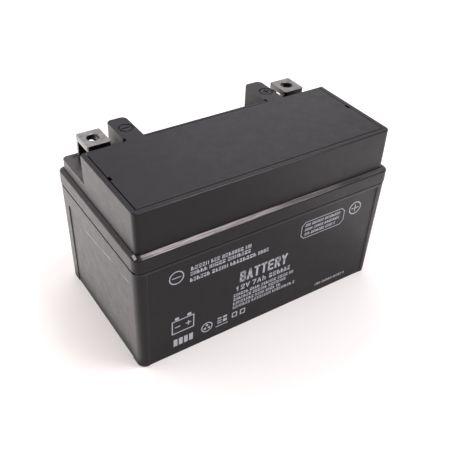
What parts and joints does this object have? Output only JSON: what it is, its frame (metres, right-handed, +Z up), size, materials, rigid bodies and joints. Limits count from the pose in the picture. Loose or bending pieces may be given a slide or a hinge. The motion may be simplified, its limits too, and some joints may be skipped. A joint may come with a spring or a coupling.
{
  "type": "motorcycle battery",
  "caption": "Sealed lead-acid motorcycle battery: grey plastic case, raised lid with a rear recess for two bolt-on lead bracket terminals, relief valves, plates and separators inside.",
  "frame": {"origin": "middle of the underside, where the battery stands", "axes": "+X along the battery from the negative to the positive terminal, +Y to the rear, where the terminals are, +Z up"},
  "size_m": [0.15, 0.087, 0.094],
  "materials": {
    "case_plastic": "fine-grained moulded polypropylene, dark grey, slightly glossy, a little scuffed at its edges",
    "terminal_lead": "cast lead, dull warm grey with faint casting marks",
    "seal_rubber": "black moulded rubber",
    "black_resin": "poured resin, glossy",
    "red_resin": "poured resin, glossy",
    "negative_plate": "spongy lead paste on a lead grid, matt grey",
    "positive_plate": "lead dioxide paste on a lead grid, matt dark brown",
    "glass_mat": "white glass-fibre mat"
  },
  "bodies": {
    "battery_case": {"container": "case_plastic", "lid": "case_plastic", "top_plate": "case_plastic", "negative_terminal": "terminal_lead", "positive_terminal": "terminal_lead", "negative_post": "terminal_lead", "positive_post": "terminal_lead", "negative_post_seal": "seal_rubber", "positive_post_seal": "seal_rubber", "negative_resin": "black_resin", "positive_resin": "red_resin", "cell_1_negative_group": "negative_plate", "cell_1_positive_group": "positive_plate", "cell_1_separator": "glass_mat", "cell_2_negative_group": "negative_plate", "cell_2_positive_group": "positive_plate", "cell_2_separator": "glass_mat", "cell_3_negative_group": "negative_plate", "cell_3_positive_group": "positive_plate", "cell_3_separator": "glass_mat", "cell_4_negative_group": "negative_plate", "cell_4_positive_group": "positive_plate", "cell_4_separator": "glass_mat", "cell_5_negative_group": "negative_plate", "cell_5_positive_group": "positive_plate", "cell_5_separator": "glass_mat", "cell_6_negative_group": "negative_plate", "cell_6_positive_group": "positive_plate", "cell_6_separator": "glass_mat", "intercell_weld_1": "terminal_lead", "intercell_weld_2": "terminal_lead", "intercell_weld_3": "terminal_lead", "intercell_weld_4": "terminal_lead", "intercell_weld_5": "terminal_lead"},
    "valve_1": {"valve_cap_1": "seal_rubber"},
    "valve_2": {"valve_cap_2": "seal_rubber"},
    "valve_3": {"valve_cap_3": "seal_rubber"},
    "valve_4": {"valve_cap_4": "seal_rubber"},
    "valve_5": {"valve_cap_5": "seal_rubber"},
    "valve_6": {"valve_cap_6": "seal_rubber"}
  },
  "joints": [
    {"name": "valve_1_lift", "type": "slide", "parent": "battery_case", "child": "valve_1", "axis": [0, 0, 1], "range_m": [0, 0.0006], "stiffness_N_per_m": 600},
    {"name": "valve_2_lift", "type": "slide", "parent": "battery_case", "child": "valve_2", "axis": [0, 0, 1], "range_m": [0, 0.0006], "stiffness_N_per_m": 600},
    {"name": "valve_3_lift", "type": "slide", "parent": "battery_case", "child": "valve_3", "axis": [0, 0, 1], "range_m": [0, 0.0006], "stiffness_N_per_m": 600},
    {"name": "valve_4_lift", "type": "slide", "parent": "battery_case", "child": "valve_4", "axis": [0, 0, 1], "range_m": [0, 0.0006], "stiffness_N_per_m": 600},
    {"name": "valve_5_lift", "type": "slide", "parent": "battery_case", "child": "valve_5", "axis": [0, 0, 1], "range_m": [0, 0.0006], "stiffness_N_per_m": 600},
    {"name": "valve_6_lift", "type": "slide", "parent": "battery_case", "child": "valve_6", "axis": [0, 0, 1], "range_m": [0, 0.0006], "stiffness_N_per_m": 600}
  ]
}
